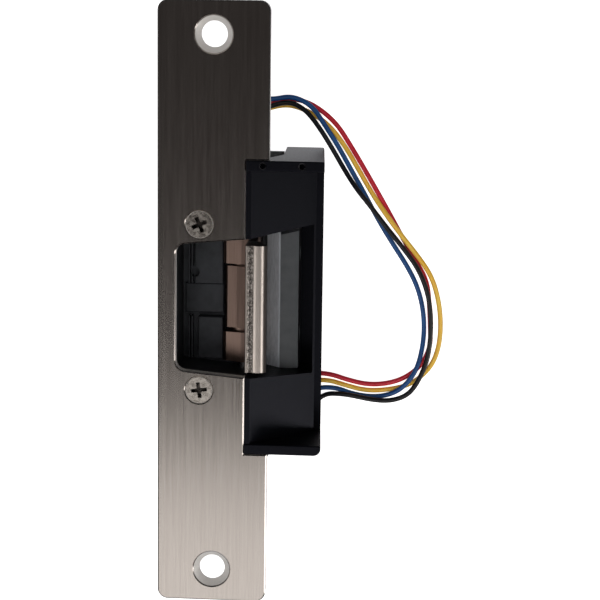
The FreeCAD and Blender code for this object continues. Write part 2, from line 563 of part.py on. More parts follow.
# --- keeper ------------------------------------------------------------------------------------------
def nose_face():
    """Section of the keeper's bar and web, its worn nose made of a hollow and a crown."""
    top = FRONT + NOSE_PROUD
    start, hollow_end, crown_end = V(NOSE_LEFT + 0.6, 0, top), V(11.7, 0, top - 0.25), V(14.5, 0, top - 0.55)
    hollow = Part.Arc(start, V(10.8, 0, top - 0.5), hollow_end)
    crown = Part.Arc(hollow_end, V(13.1, 0, top + 0.02), crown_end)
    rest = [crown_end, V(14.9, 0, top - 0.6), V(NOSE_RIGHT, 0, top - 1.4), V(NOSE_RIGHT - 0.7, 0, 0.4),
            V(12.0, 0, -6.0), V(11.4, 0, AXIS_Z), V(AXIS_X, 0, AXIS_Z), V(4.3, 0, -12.6),
            V(NOSE_LEFT - 0.1, 0, -10.6), V(NOSE_LEFT - 0.1, 0, 0), V(NOSE_LEFT, 0, top - 0.3),
            V(NOSE_LEFT + 0.25, 0, top), start]
    edges = [hollow.toShape(), crown.toShape()]
    edges += [Part.LineSegment(a, b).toShape() for a, b in zip(rest, rest[1:])]
    return Part.Face(Part.Wire(edges))


def keeper():
    bar = nose_face()
    bar.translate(V(0, -KEEPER_HALF, 0))
    bar = bar.extrude(V(0, 2 * KEEPER_HALF, 0))
    bar = bar.fuse(rod(KEEPER_HUB_R, (AXIS_X, -KEEPER_HALF, AXIS_Z), (AXIS_X, KEEPER_HALF, AXIS_Z)))
    wall = NOSE_LEFT - 0.1
    left = AXIS_X - KEEPER_HUB_R
    lug = [(wall, -8.2), (AXIS_X - 0.5, -8.4), (LEDGE_X + 0.9, -9.4), (LEDGE_X, -10.2), (LEDGE_X, -12.5),
           (left, AXIS_Z), (AXIS_X, AXIS_Z), (wall, AXIS_Z)]
    middle = [(wall, -8.8), (5.7, -8.8), (5.6, -9.5), (LEDGE_X + 1.2, -10.0), (LEDGE_X + 0.6, -10.8),
              (left, AXIS_Z), (AXIS_X, AXIS_Z), (wall, AXIS_Z)]
    for outline, y in ((lug, LUG_TOP), (lug, LUG_LOW), (middle, WEB_MID)):
        bar = bar.fuse(prism_y(outline, y))
    lean = math.radians(TAIL_ANGLE)
    along, across = V(math.sin(lean), 0, -math.cos(lean)), V(math.cos(lean), 0, math.sin(lean))
    axis = V(AXIS_X, TAIL_Y[0], AXIS_Z)
    corners = [axis + across * (side * TAIL_HALF) + along * reach
               for side, reach in ((-1, 2.5), (1, 2.5), (1, TAIL_R), (-1, TAIL_R))]
    tail = Part.Face(Part.makePolygon(corners + corners[:1])).extrude(V(0, TAIL_Y[1] - TAIL_Y[0], 0))
    bar = bar.fuse(tail)
    bay = (AXIS_X - KEEPER_HUB_R - 1, AXIS_X + KEEPER_HUB_R + 1)
    bar = bar.cut(box(bay, SPRING_BAY, (AXIS_Z - KEEPER_HUB_R - 1, AXIS_Z)))
    bar = bar.cut(rod(BAY_R, (AXIS_X, SPRING_BAY[0], AXIS_Z), (AXIS_X, SPRING_BAY[1], AXIS_Z)))
    bar = bar.cut(rod(KEEPER_PIN_R + FIT_GAP, (AXIS_X, -KEEPER_HALF - 1, AXIS_Z),
                      (AXIS_X, KEEPER_HALF + 1, AXIS_Z)))
    for y in bush_spans():
        bar = bar.cut(rod(KEEPER_PIN_R + BUSH_WALL, (AXIS_X, y[0], AXIS_Z), (AXIS_X, y[1], AXIS_Z)))
    return bar.removeSplitter()


def bush_spans():
    length = 4.0
    return ((-KEEPER_HALF, length - KEEPER_HALF), (KEEPER_HALF - length, KEEPER_HALF))


def keeper_bushes():
    outer, inner = KEEPER_PIN_R + BUSH_WALL, KEEPER_PIN_R + FIT_GAP
    return [tube(outer, inner, (AXIS_X, y[0], AXIS_Z), (AXIS_X, y[1], AXIS_Z)) for y in bush_spans()]


def keeper_pin():
    return rod(KEEPER_PIN_R, (AXIS_X, -KEEPER_PIN_HALF, AXIS_Z), (AXIS_X, KEEPER_PIN_HALF, AXIS_Z))


def coil_spring(radius, wire, start_y, end_y, turns, x, z):
    """Helical spring along Y."""
    length = end_y - start_y - wire
    helix = Part.makeHelix(length / turns, length, radius)
    section = Part.Wire([Part.Circle(V(radius, 0, 0), V(0, 1, 0), wire / 2).toShape()])
    coil = Part.Wire(helix.Edges).makePipeShell([section], True, True)
    coil.rotate(V(0, 0, 0), V(1, 0, 0), -90)
    coil.translate(V(x, start_y + wire / 2, z))
    return coil


def keeper_spring():
    return coil_spring(KEEPER_SPRING_R, KEEPER_SPRING_WIRE, SPRING_BAY[0] + 0.3, SPRING_BAY[1] - 0.3, 5,
                       AXIS_X, AXIS_Z)


# --- lock --------------------------------------------------------------------------------------------
def lever_outline():
    """Bell crank in (y, z): a short arm up to the plunger's pin and a long one to the toe."""
    arm = LEVER_HUB_R - 0.35
    return [(LEVER_Y - arm, LEVER_Z), (LEVER_Y - arm, LOCK_Z + 2.2), (LEVER_Y + arm, LOCK_Z + 2.2),
            (LEVER_Y + arm, LEVER_Z - 0.6), (LEVER_Y, LEVER_Z - arm), (TOE_Y[0], LEVER_Z - arm),
            (TOE_Y[0], LEVER_Z + arm), (LEVER_Y - arm, LEVER_Z + arm)]


def locking_lever():
    x = (LOCK_X - LEVER_T / 2, LOCK_X + LEVER_T / 2)
    wire = Part.makePolygon([V(x[0], y, z) for y, z in lever_outline() + lever_outline()[:1]])
    lever = Part.Face(wire).extrude(V(LEVER_T, 0, 0))
    lever = lever.fuse(rod(LEVER_HUB_R, (x[0], LEVER_Y, LEVER_Z), (x[1], LEVER_Y, LEVER_Z)))
    lever = lever.fuse(box((TOE_LEFT, TOE_RIGHT), TOE_Y, (LEVER_Z, TOE_TOP)))
    slot = CROSS_PIN_R + MOVE_GAP
    lever = lever.cut(box((x[0] - 1, x[1] + 1), (LEVER_Y - slot, LEVER_Y + slot),
                          (LOCK_Z - slot - 0.3, LOCK_Z + 3)))
    lever = lever.cut(rod(LEVER_PIN_R + FIT_GAP, (x[0] - 1, LEVER_Y, LEVER_Z), (x[1] + 1, LEVER_Y, LEVER_Z)))
    return lever.removeSplitter()


def lever_pin():
    return rod(LEVER_PIN_R, (LEVER_PIN_LEFT, LEVER_Y, LEVER_Z), (BODY_RIGHT - 0.2, LEVER_Y, LEVER_Z))


def plunger():
    rear = FRAME_Y[1] - FRAME_T - CORE_LENGTH - PLUNGER_TRAVEL - 0.4
    front = LEVER_Y - 3.0
    bar = rod(PLUNGER_R, (LOCK_X, front, LOCK_Z), (LOCK_X, rear, LOCK_Z))
    collar_end = PLUNGER_COLLAR_Y + PLUNGER_COLLAR_T
    bar = bar.fuse(rod(PLUNGER_COLLAR_R, (LOCK_X, PLUNGER_COLLAR_Y, LOCK_Z), (LOCK_X, collar_end, LOCK_Z)))
    half = FORK_GAP / 2
    bar = bar.cut(box((LOCK_X - half, LOCK_X + half), (front - 1, PLUNGER_COLLAR_Y - 0.6),
                      (LOCK_Z - 5, LOCK_Z + 5)))
    return bar.cut(rod(CROSS_PIN_R, (LOCK_X - 4, LEVER_Y, LOCK_Z), (LOCK_X + 4, LEVER_Y, LOCK_Z)))


def plunger_pin():
    half = PLUNGER_R - 0.25
    return rod(CROSS_PIN_R, (LOCK_X - half, LEVER_Y, LOCK_Z), (LOCK_X + half, LEVER_Y, LOCK_Z))


def plunger_spring():
    radius = (PLUNGER_R + PLUNGER_COLLAR_R) / 2
    return coil_spring(radius, SPRING_WIRE, PLUNGER_COLLAR_Y + PLUNGER_COLLAR_T, FRAME_Y[0], SPRING_TURNS,
                       LOCK_X, LOCK_Z)


def solenoid_screw_spots():
    """Centres of the solenoid's two screws, on the cavity's roof."""
    return [(LOCK_X - FRAME_HALF - 2.0, FRAME_Y[0] + 2.6, CAVITY_TOP),
            (LOCK_X, FRAME_Y[1] + 2.3, CAVITY_TOP)]


def solenoid_frame():
    x = (LOCK_X - FRAME_HALF, LOCK_X + FRAME_HALF)
    z = (LOCK_Z - FRAME_HALF, CAVITY_TOP)
    web = box(x, FRAME_Y, (CAVITY_TOP - FRAME_T, CAVITY_TOP))
    web = web.fuse(box((x[0] - 3.8, x[0] + 1), (FRAME_Y[0], FRAME_Y[0] + 5.2),
                       (CAVITY_TOP - FRAME_T, CAVITY_TOP)))
    web = web.fuse(box((LOCK_X - 2.5, LOCK_X + 2.5), (FRAME_Y[1] - 1, FRAME_Y[1] + 4.2),
                       (CAVITY_TOP - FRAME_T, CAVITY_TOP)))
    front = box(x, (FRAME_Y[0], FRAME_Y[0] + FRAME_T), z)
    front = front.cut(rod(PLUNGER_R + MOVE_GAP, (LOCK_X, FRAME_Y[0] - 1, LOCK_Z),
                          (LOCK_X, FRAME_Y[0] + 3, LOCK_Z)))
    back = box(x, (FRAME_Y[1] - FRAME_T, FRAME_Y[1]), z)
    back = back.cut(rod(CORE_RIVET_R, (LOCK_X, FRAME_Y[1] - 3, LOCK_Z), (LOCK_X, FRAME_Y[1] + 1, LOCK_Z)))
    frame = web.fuse(front).fuse(back)
    for px, py, pz in solenoid_screw_spots():
        frame = frame.cut(rod(COVER_SCREW_R, (px, py, pz - 5), (px, py, pz + 1)))
    return frame.removeSplitter()


def solenoid_screws():
    screw = pan_screw(2.0, COVER_SCREW_R, FRAME_T + 3.2)
    return [placed(screw, x, y, z - FRAME_T, 35 * i) for i, (x, y, z) in enumerate(solenoid_screw_spots())]


def bobbin_span():
    return (FRAME_Y[0] + FRAME_T, FRAME_Y[1] - FRAME_T)


def coil_sleeve(outer, inner, inset):
    low, high = bobbin_span()
    return tube(outer, inner, (LOCK_X, low + inset, LOCK_Z), (LOCK_X, high - inset, LOCK_Z))


def coil_bobbin():
    bore = PLUNGER_R + MOVE_GAP
    low, high = bobbin_span()
    bobbin = coil_sleeve(bore + BOBBIN_WALL, bore, 0)
    for start, end in ((low, low + BOBBIN_FLANGE), (high - BOBBIN_FLANGE, high)):
        bobbin = bobbin.fuse(tube(BOBBIN_R, bore, (LOCK_X, start, LOCK_Z), (LOCK_X, end, LOCK_Z)))
    return bobbin.removeSplitter()


def coil_winding():
    return coil_sleeve(COIL_R, PLUNGER_R + MOVE_GAP + BOBBIN_WALL, BOBBIN_FLANGE)


def coil_tape():
    return coil_sleeve(COIL_R + TAPE_T, COIL_R, BOBBIN_FLANGE)


def solenoid_core():
    seat = FRAME_Y[1] - FRAME_T
    core = rod(PLUNGER_R, (LOCK_X, seat - CORE_LENGTH, LOCK_Z), (LOCK_X, seat, LOCK_Z))
    return core.fuse(rod(CORE_RIVET_R, (LOCK_X, seat, LOCK_Z), (LOCK_X, FRAME_Y[1] + 0.4, LOCK_Z)))


# --- leads -------------------------------------------------------------------------------------------
def terminal_board():
    half = GROMMET_HALF_X
    return box((GROMMET_X - half, GROMMET_X + half), (FRAME_Y[1], FRAME_Y[1] + BOARD_T),
               (GROMMET_Z - 1.5, GROMMET_Z + 1.5)).cut(
        rod(CORE_RIVET_R + 0.3, (LOCK_X, FRAME_Y[1] - 1, LOCK_Z), (LOCK_X, FRAME_Y[1] + 5, LOCK_Z)))


def lead_grommet():
    wall = grommet_hole(0.0, (BODY_HALF - END_WALL, BODY_HALF + 0.2))
    grommet = wall.fuse(grommet_hole(0.35, (BODY_HALF, BODY_HALF + GROMMET_PROUD)))
    for x in lead_spots().values():
        grommet = grommet.cut(rod(LEAD_D / 2, (x, BODY_HALF - END_WALL - 1, GROMMET_Z),
                                  (x, BODY_HALF + 4, GROMMET_Z)))
    return grommet.removeSplitter()


def coil_tails():
    """The coil's own ends, from the terminal board to the grommet."""
    start, end = FRAME_Y[1] + BOARD_T, BODY_HALF - END_WALL
    return [rod(LEAD_D / 2, (x, start, GROMMET_Z), (x, end, GROMMET_Z)) for x in lead_spots().values()]


def lead_points(name):
    return [V(lead_spots()[name], BODY_HALF - END_WALL, GROMMET_Z)] + [V(*point) for point in ROUTES[name]]


def lead_path(points):
    """Straight runs joined by tangent arcs, with the arcs' radii and the whole length."""
    edges, radii, here = [], [], points[0]
    for before, corner, after in zip(points, points[1:], points[2:]):
        back, on = before - corner, after - corner
        reach = ARC_SHARE * min(back.Length, on.Length)
        back.normalize()
        on.normalize()
        half_turn = (math.pi - back.getAngle(on)) / 2
        radius = reach / math.tan(half_turn)
        radii.append(radius)
        start, end = corner + back * reach, corner + on * reach
        inward = (back + on).normalize()
        middle = corner + inward * (math.hypot(radius, reach) - radius)
        edges.append(Part.LineSegment(here, start).toShape())
        edges.append(Part.Arc(start, middle, end).toShape())
        here = end
    edges.append(Part.LineSegment(here, points[-1]).toShape())
    return Part.Wire(edges), radii


def lead(name):
    points = lead_points(name)
    path, radii = lead_path(points)
    section = Part.Wire([Part.Circle(points[0], points[1] - points[0], LEAD_D / 2).toShape()])
    solid = path.makePipeShell([section], True, False)
    expected = math.pi * LEAD_D ** 2 / 4 * path.Length
    print(f"lead_{name}: length {path.Length:.1f} mm, radii {min(radii):.1f} to {max(radii):.1f} mm, "
          f"volume {solid.Volume / expected:.4f} of section times length")
    return solid


def lead_tip(name):
    """The stripped and tinned end of a lead."""
    end, before = lead_points(name)[-1], lead_points(name)[-2]
    along = (end - before).normalize()
    return Part.makeCylinder(LEAD_TIP_R, LEAD_TIP_LENGTH, end, along)


def save(name, shapes):
    """Write one node; a list of solids becomes one compound."""
    shape = Part.makeCompound(shapes) if isinstance(shapes, list) else shapes
    shape.exportStep(f"parts/{name}.step")


NODES = (faceplate, body_screws, trim_hood, roll_pins, body_housing, back_cover, cover_screws, saddle,
         saddle_screws, keeper, keeper_pin, keeper_bushes, keeper_spring, locking_lever, lever_pin, plunger,
         plunger_pin, plunger_spring, solenoid_frame, solenoid_screws, solenoid_core, coil_bobbin,
         coil_winding, coil_tape, terminal_board, coil_tails, lead_grommet)

os.makedirs("parts", exist_ok=True)
for node in NODES:
    save(node.__name__, node())
for colour in ROUTES:
    save(f"lead_{colour}", lead(colour))
    save(f"tip_{colour}", lead_tip(colour))
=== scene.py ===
import math

import bmesh
import bpy
from bpy.props import FloatProperty, FloatVectorProperty, PointerProperty
from mathutils import Matrix, Vector


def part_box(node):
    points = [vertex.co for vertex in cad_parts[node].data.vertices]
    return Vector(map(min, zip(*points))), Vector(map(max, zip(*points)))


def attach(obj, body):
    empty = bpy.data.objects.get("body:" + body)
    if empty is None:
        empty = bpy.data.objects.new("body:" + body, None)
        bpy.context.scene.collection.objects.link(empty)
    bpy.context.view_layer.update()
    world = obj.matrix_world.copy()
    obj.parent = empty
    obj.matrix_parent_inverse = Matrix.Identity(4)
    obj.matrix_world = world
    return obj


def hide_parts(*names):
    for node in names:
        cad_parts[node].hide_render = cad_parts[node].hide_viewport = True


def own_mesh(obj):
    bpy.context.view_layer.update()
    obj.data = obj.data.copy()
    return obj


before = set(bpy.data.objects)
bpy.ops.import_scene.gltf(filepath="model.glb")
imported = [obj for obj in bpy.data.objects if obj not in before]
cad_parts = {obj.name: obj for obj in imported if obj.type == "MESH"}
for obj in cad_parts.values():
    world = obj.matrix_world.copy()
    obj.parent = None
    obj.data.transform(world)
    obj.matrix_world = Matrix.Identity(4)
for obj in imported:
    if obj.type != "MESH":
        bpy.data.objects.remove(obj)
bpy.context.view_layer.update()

bl_info = {
    "name": "Electric door strike",
    "version": (1, 0, 0),
    "blender": (4, 5, 0),
    "location": "3D View > Sidebar > Strike",
    "description": "Finishes, leads and studio for an electric door strike with a brushed faceplate",
    "category": "Object",
}

MM = 0.001
BODY_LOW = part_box("body_housing")[0]
LEAD_COLOURS = ("blue", "red", "yellow", "black")

# Bands across which a finish, a painted highlight or a painted shade changes, in millimetres along the
# frame's axes.
CUT_BELOW_FACE_Z = (2.55, 2.7)
SADDLE_RIDGE_X = (17.6, 18.0)
NOSE_LEFT_X = (9.75, 9.95)
NOSE_CROWN_X = (11.5, 11.9)
NOSE_SHADE_X = (14.3, 14.9)
NOSE_TOP_Z = (1.5, 2.2)
KEEPER_FLANK_Z = (-6.5, -5.0)
SCREW_FACE_Z = (2.2, 2.72)

CAMERA_PLACE = (0.06283, 0.10790, 0.55014)
CAMERA_TURNS = (0.0690, -0.1887, 0.0132)     # yaw, pitch and roll in radians
CAMERA_LENS = 117.74                         # millimetres, on a sensor 36 mm wide
FLOOR_GAP = 0.1 * MM                         # keeps the floor out of the back cover's plane
FLOOR_HALF = 3.0
LAMP_TINT = (1.0, 0.98, 0.95)


# --- colour and nodes ----------------------------------------------------------------------------
def linear(hex_colour):
    """Opaque linear colour of an sRGB hex value such as '#8a8480'."""
    values = [int(hex_colour[i:i + 2], 16) / 255 for i in (1, 3, 5)]
    light = [v / 12.92 if v <= 0.04045 else ((v + 0.055) / 1.055) ** 2.4 for v in values]
    return (*light, 1.0)


def add_node(tree, kind, settings=None, links=None):
    """Adds a node; settings name its properties or its inputs, and links name inputs fed by sockets."""
    node = tree.nodes.new(kind)
    for name, value in (settings or {}).items():
        if isinstance(name, str) and hasattr(node, name):
            setattr(node, name, value)
        else:
            node.inputs[name].default_value = value
    for name, source in (links or {}).items():
        tree.links.new(source, node.inputs[name])
    return node


def new_material(name):
    """An empty material, with its tree and its Principled shader."""
    old = bpy.data.materials.get(name)
    if old:
        bpy.data.materials.remove(old)
    made = bpy.data.materials.new(name)
    made.use_nodes = True
    tree = made.node_tree
    tree.nodes.clear()
    shader = add_node(tree, "ShaderNodeBsdfPrincipled")
    output = add_node(tree, "ShaderNodeOutputMaterial")
    tree.links.new(shader.outputs["BSDF"], output.inputs["Surface"])
    return made, tree, shader


def place_of(tree, stretch=(1.0, 1.0, 1.0)):
    """Object coordinates in millimetres, divided along each axis by stretch."""
    coords = add_node(tree, "ShaderNodeTexCoord")
    scale = tuple(1 / (MM * s) for s in stretch)
    return add_node(tree, "ShaderNodeMapping", {"Scale": scale},
                    {"Vector": coords.outputs["Object"]}).outputs["Vector"]


def axis_of(tree, axis, space="Object"):
    """The surface's place along one axis, in metres where the space is the object's own."""
    coords = add_node(tree, "ShaderNodeTexCoord")
    parts = add_node(tree, "ShaderNodeSeparateXYZ", None, {"Vector": coords.outputs[space]})
    return parts.outputs[axis]


def noise(tree, vector, size_mm, detail=3.0, roughness=0.55):
    """Noise whose lumps are about size_mm across where the vector is in millimetres."""
    return add_node(tree, "ShaderNodeTexNoise",
                    {"Scale": 1 / size_mm, "Detail": detail, "Roughness": roughness},
                    {"Vector": vector}).outputs["Fac"]


def ramp(tree, factor, stops):
    """Colour ramp through (position, colour) stops."""
    node = add_node(tree, "ShaderNodeValToRGB", None, {"Fac": factor})
    while len(node.color_ramp.elements) < len(stops):
        node.color_ramp.elements.new(0.5)
    for element, (position, colour) in zip(node.color_ramp.elements, stops):
        element.position = position
        element.color = colour
    return node.outputs["Color"]


def tones(tree, factor, dark, light, start=0.3, end=0.7):
    """Colour ramp between two sRGB hex colours."""
    return ramp(tree, factor, [(start, linear(dark)), (end, linear(light))])


def spread(tree, factor, low, high, start=0.3, end=0.7):
    """Maps a factor from start..end onto low..high."""
    limits = {"From Min": start, "From Max": end, "To Min": low, "To Max": high}
    return add_node(tree, "ShaderNodeMapRange", limits, {"Value": factor}).outputs["Result"]


def zone(tree, axis, band, before=0.0, after=1.0):
    """Mask that goes from before to after across a band of millimetres along an axis."""
    start, end = band
    return spread(tree, axis_of(tree, axis), before, after, start * MM, end * MM)


def product(tree, first, second):
    """Two masks multiplied."""
    node = add_node(tree, "ShaderNodeMath", {"operation": "MULTIPLY"}, {0: first, 1: second})
    return node.outputs["Value"]


def blend_value(tree, share, first, second):
    """A value that goes from first to second as share goes from 0 to 1."""
    node = add_node(tree, "ShaderNodeMix", {"data_type": "FLOAT"}, {0: share, 2: first, 3: second})
    return node.outputs[0]


def blend_colour(tree, share, first, second):
    """A colour that goes from first to second as share goes from 0 to 1."""
    node = add_node(tree, "ShaderNodeMix", {"data_type": "RGBA"}, {0: share, 6: first, 7: second})
    return node.outputs[2]


def bump(tree, height, strength, depth_mm, after=None):
    """Normal of a relief depth_mm deep, laid over an earlier bump's normal where after gives one."""
    links = {"Height": height}
    if after is not None:
        links["Normal"] = after
    node = add_node(tree, "ShaderNodeBump", {"Strength": strength, "Distance": depth_mm * MM}, links)
    return node.outputs["Normal"]


def set_inputs(shader, **values):
    """Sets the shader's own sockets; an underscore in a name stands for a space."""
    for name, value in values.items():
        shader.inputs[name.replace("_", " ")].default_value = value


# --- finishes ------------------------------------------------------------------------------------
def brushed_stainless():
    """Stainless steel, linished along its length with 180 grit."""
    made, tree, shader = new_material("brushed_stainless_180_grit")
    # Grooves run along the plate, so light is spread across it and the sheen changes down its length.
    set_inputs(shader, Metallic=1.0, Anisotropic=0.7, Anisotropic_Rotation=0.25)
    grit = 0.085     # a 180 grit groove, in millimetres, drawn twice as coarse so that it shows
    lines = noise(tree, place_of(tree, (2 * grit, 14.0, 2 * grit)), 1.0, 4.0, 0.7)
    drift = noise(tree, place_of(tree, (0.8, 60.0, 0.8)), 1.0, 2.0)
    mixed = add_node(tree, "ShaderNodeMix", {"data_type": "FLOAT", 0: 0.3}, {2: lines, 3: drift})
    blend = mixed.outputs[0]
    colour = ramp(tree, blend, [(0.25, linear("#a49d98")), (0.5, linear("#b3aca7")),
                                (0.75, linear("#c1bbb6"))])
    # Below the face, countersinks and cut edges are unbrushed and matt, and painted near white as
    # painted highlight.
    cut = zone(tree, "Z", CUT_BELOW_FACE_Z, 1.0, 0.0)
    base = add_node(tree, "ShaderNodeMix", {"data_type": "RGBA", 7: linear("#f4f1ee")},
                    {0: cut, 6: colour})
    tree.links.new(base.outputs[2], shader.inputs["Base Color"])
    tree.links.new(spread(tree, cut, 1.0, 0.3, 0.0, 1.0), shader.inputs["Metallic"])
    satin = spread(tree, cut, 0.0, 0.3, 0.0, 1.0)
    face = spread(tree, blend, 0.2, 0.27)
    rough = add_node(tree, "ShaderNodeMath", {"operation": "ADD"}, {0: face, 1: satin}).outputs["Value"]
    tree.links.new(rough, shader.inputs["Roughness"])
    tree.links.new(bump(tree, lines, 0.12, 0.012), shader.inputs["Normal"])
    tangent = add_node(tree, "ShaderNodeTangent", {"direction_type": "RADIAL", "axis": "X"})
    tree.links.new(tangent.outputs["Tangent"], shader.inputs["Tangent"])
    return made


def black_powder_coat():
    """Die-cast hood under a fine satin black powder coat."""
    made, tree, shader = new_material("satin_black_powder_coat")
    # A close orange peel breaks the reflections up, and dust settles as slightly lighter specks.
    place = place_of(tree)
    peel = noise(tree, place, 0.45, 2.0)
    dust = noise(tree, place, 0.18, 2.0)
    colour = tones(tree, dust, "#030305", "#090a10", 0.45, 0.75)
    tree.links.new(colour, shader.inputs["Base Color"])
    set_inputs(shader, Specular_IOR_Level=0.22, Specular_Tint=linear("#d8dcf4"))
    tree.links.new(spread(tree, peel, 0.34, 0.48), shader.inputs["Roughness"])
    tree.links.new(bump(tree, peel, 0.18, 0.03), shader.inputs["Normal"])
    return made


def cast_zinc(name, dark, light, metallic):
    """Die-cast zinc alloy as it leaves the tool, dulled by its passivation."""
    made, tree, shader = new_material(name)
    # Flow marks and a fine sandy skin make it patchy and soft in its shine.
    set_inputs(shader, Metallic=metallic)
    place = place_of(tree)
    patches = noise(tree, place, 4.0, 4.0)
    skin = noise(tree, place, 0.22, 2.0)
    colour = tones(tree, patches, dark, light)
    tree.links.new(colour, shader.inputs["Base Color"])
    tree.links.new(spread(tree, patches, 0.42, 0.62), shader.inputs["Roughness"])
    tree.links.new(bump(tree, skin, 0.35, 0.03), shader.inputs["Normal"])
    return made, tree, shader, colour


def lit_flank_saddle():
    """Blue-grey die-cast zinc, with the flank on the keeper's side painted lighter as painted light."""
    made, tree, shader, colour = cast_zinc("die_cast_zinc_blue", "#4a4d50", "#585b5f", metallic=0.3)
    # The keeper-side flank is painted lighter up to the ridge as painted light, so the two flanks read
    # as different greys.
    lighter_side = zone(tree, "X", SADDLE_RIDGE_X, 1.0, 0.0)
    grain = noise(tree, place_of(tree, (0.4, 3.0, 0.4)), 0.8, 3.0)
    bright = tones(tree, grain, "#a5abb3", "#bcc2ca")
    tree.links.new(blend_colour(tree, lighter_side, colour, bright), shader.inputs["Base Color"])
    return made


def plated_keeper():
    """Investment-cast steel keeper, nickel plated and polished on its nose, tea-brown below."""
    made, tree, shader = new_material("worn_nickel_plate")
    # The nose's crown is polished, its hollow keeps a pitted cast skin, and the flanks below are
    # a dull brown.
    set_inputs(shader, Metallic=1.0)
    place = place_of(tree)
    pits = noise(tree, place_of(tree, (0.8, 1.2, 1.0)), 0.5, 5.0, 0.65)
    drawn = noise(tree, place_of(tree, (0.25, 9.0, 0.25)), 1.0, 3.0)
    from_left = zone(tree, "X", NOSE_LEFT_X)
    to_crown = zone(tree, "X", NOSE_CROWN_X, 1.0, 0.0)
    on_top = zone(tree, "Z", NOSE_TOP_Z)
    hollow = product(tree, product(tree, from_left, to_crown), on_top)
    crown_colour = tones(tree, drawn, "#c9beb7", "#d8cfc8")
    pit_colour = ramp(tree, pits, [(0.36, linear("#2f2c2b")), (0.5, linear("#78726e")),
                                   (0.64, linear("#bcb5af"))])
    brown = tones(tree, drawn, "#75635a", "#847068")
    top = blend_colour(tree, hollow, crown_colour, pit_colour)
    # The nose's right-hand side is painted darker as painted shade.
    shaded_side = zone(tree, "X", NOSE_SHADE_X)
    top = blend_colour(tree, shaded_side, top, tones(tree, drawn, "#46403d", "#5c5551"))
    above = zone(tree, "Z", KEEPER_FLANK_Z)
    tree.links.new(blend_colour(tree, above, brown, top), shader.inputs["Base Color"])
    smooth = spread(tree, drawn, 0.34, 0.42)
    rough = spread(tree, pits, 0.5, 0.3)
    tree.links.new(blend_value(tree, hollow, smooth, rough), shader.inputs["Roughness"])
    skin = noise(tree, place, 0.35, 3.0)
    depth = product(tree, pits, hollow)
    tree.links.new(bump(tree, depth, 0.45, 0.1, bump(tree, skin, 0.08, 0.02)), shader.inputs["Normal"])
    return made


def bright_steel(name, dark, light, rough=(0.18, 0.32)):
    """Machined steel under thin zinc or nickel."""
    made, tree, shader = new_material(name)
    # Fine turning marks and a few tarnished patches keep it from looking like chrome.
    set_inputs(shader, Metallic=1.0)
    place = place_of(tree)
    patches = noise(tree, place, 2.2, 4.0)
    marks = noise(tree, place, 0.3, 2.0)
    colour = tones(tree, patches, dark, light)
    tree.links.new(colour, shader.inputs["Base Color"])
    tree.links.new(spread(tree, patches, *rough), shader.inputs["Roughness"])
    tree.links.new(bump(tree, marks, 0.15, 0.02), shader.inputs["Normal"])
    return made


def screw_with_shaded_recess():
    """Nickel-plated screw whose cross recess is painted dark as painted shade."""
    made, tree, shader = new_material("nickel_plated_screw")
    # The face is bright and worn, and everything below it is painted dark as painted shade in the
    # recess, so the cross stands out.
    set_inputs(shader, Metallic=1.0)
    face = zone(tree, "Z", SCREW_FACE_Z)
    patches = noise(tree, place_of(tree), 1.2, 3.0)
    bright = tones(tree, patches, "#b9b2ab", "#dcd5ce")
    recess_shade = tones(tree, patches, "#3a3735", "#615c58")
    tree.links.new(blend_colour(tree, face, recess_shade, bright), shader.inputs["Base Color"])
    tree.links.new(spread(tree, patches, 0.2, 0.34), shader.inputs["Roughness"])
    tree.links.new(bump(tree, patches, 0.3, 0.05), shader.inputs["Normal"])
    return made


def moulded(name, dark, light, rough=(0.35, 0.5)):
    """Moulded or extruded plastic and rubber."""
    made, tree, shader = new_material(name)
    # A faint moulding texture and slight pigment drift show up in the highlights.
    set_inputs(shader, IOR=1.5)
    place = place_of(tree)
    drift = noise(tree, place, 6.0, 2.0)
    grain = noise(tree, place, 0.3, 2.0)
    colour = tones(tree, drift, dark, light)
    tree.links.new(colour, shader.inputs["Base Color"])
    tree.links.new(spread(tree, grain, *rough), shader.inputs["Roughness"])
    tree.links.new(bump(tree, grain, 0.12, 0.02), shader.inputs["Normal"])
    return made


def enamelled_winding():
    """Copper wire in amber enamel, wound in close layers round the bobbin's axis."""
    made, tree, shader = new_material("enamelled_copper_winding")
    # Each turn catches a thin line of light, so the coil is ribbed across its length.
    set_inputs(shader, Metallic=0.9, Roughness=0.3, Coat_Weight=0.6, Coat_Roughness=0.15)
    turn = 0.22      # the wire's thickness in millimetres
    waves = add_node(tree, "ShaderNodeTexWave", {"wave_type": "BANDS", "bands_direction": "Y",
                                                 "Scale": 1 / (turn * math.pi), "Distortion": 0.3},
                     {"Vector": place_of(tree)}).outputs["Fac"]
    colour = tones(tree, waves, "#5e2c12", "#c4703a", 0.2, 0.8)
    tree.links.new(colour, shader.inputs["Base Color"])
    tree.links.new(bump(tree, waves, 0.6, 0.08), shader.inputs["Normal"])
    return made


def floor_finish(colour):
    """Matt white acrylic on a light table."""
    made, tree, shader = new_material("light_table_acrylic")
    # It glows evenly, with a trace of mottling from the diffuser.
    mottled = noise(tree, place_of(tree), 60.0, 2.0)
    clear = tuple(colour[:3])
    clouded = tuple(0.985 * v for v in clear)
    tint = ramp(tree, mottled, [(0.3, (*clouded, 1.0)), (0.7, (*clear, 1.0))])
    tree.links.new(tint, shader.inputs["Base Color"])
    tree.links.new(tint, shader.inputs["Emission Color"])
    set_inputs(shader, Roughness=0.7, Emission_Strength=1.0)
    return made


FINISHES = {
    "faceplate": brushed_stainless,
    "trim_hood": black_powder_coat,
    # The housing's zinc is painted darker than the saddle's, as painted shade for the pocket it sits
    # in.
    "body_housing": lambda: cast_zinc("die_cast_zinc_pocket_shade", "#2a2c30", "#404247", metallic=0.5)[0],
    "saddle": lit_flank_saddle,
    "keeper": plated_keeper,
}


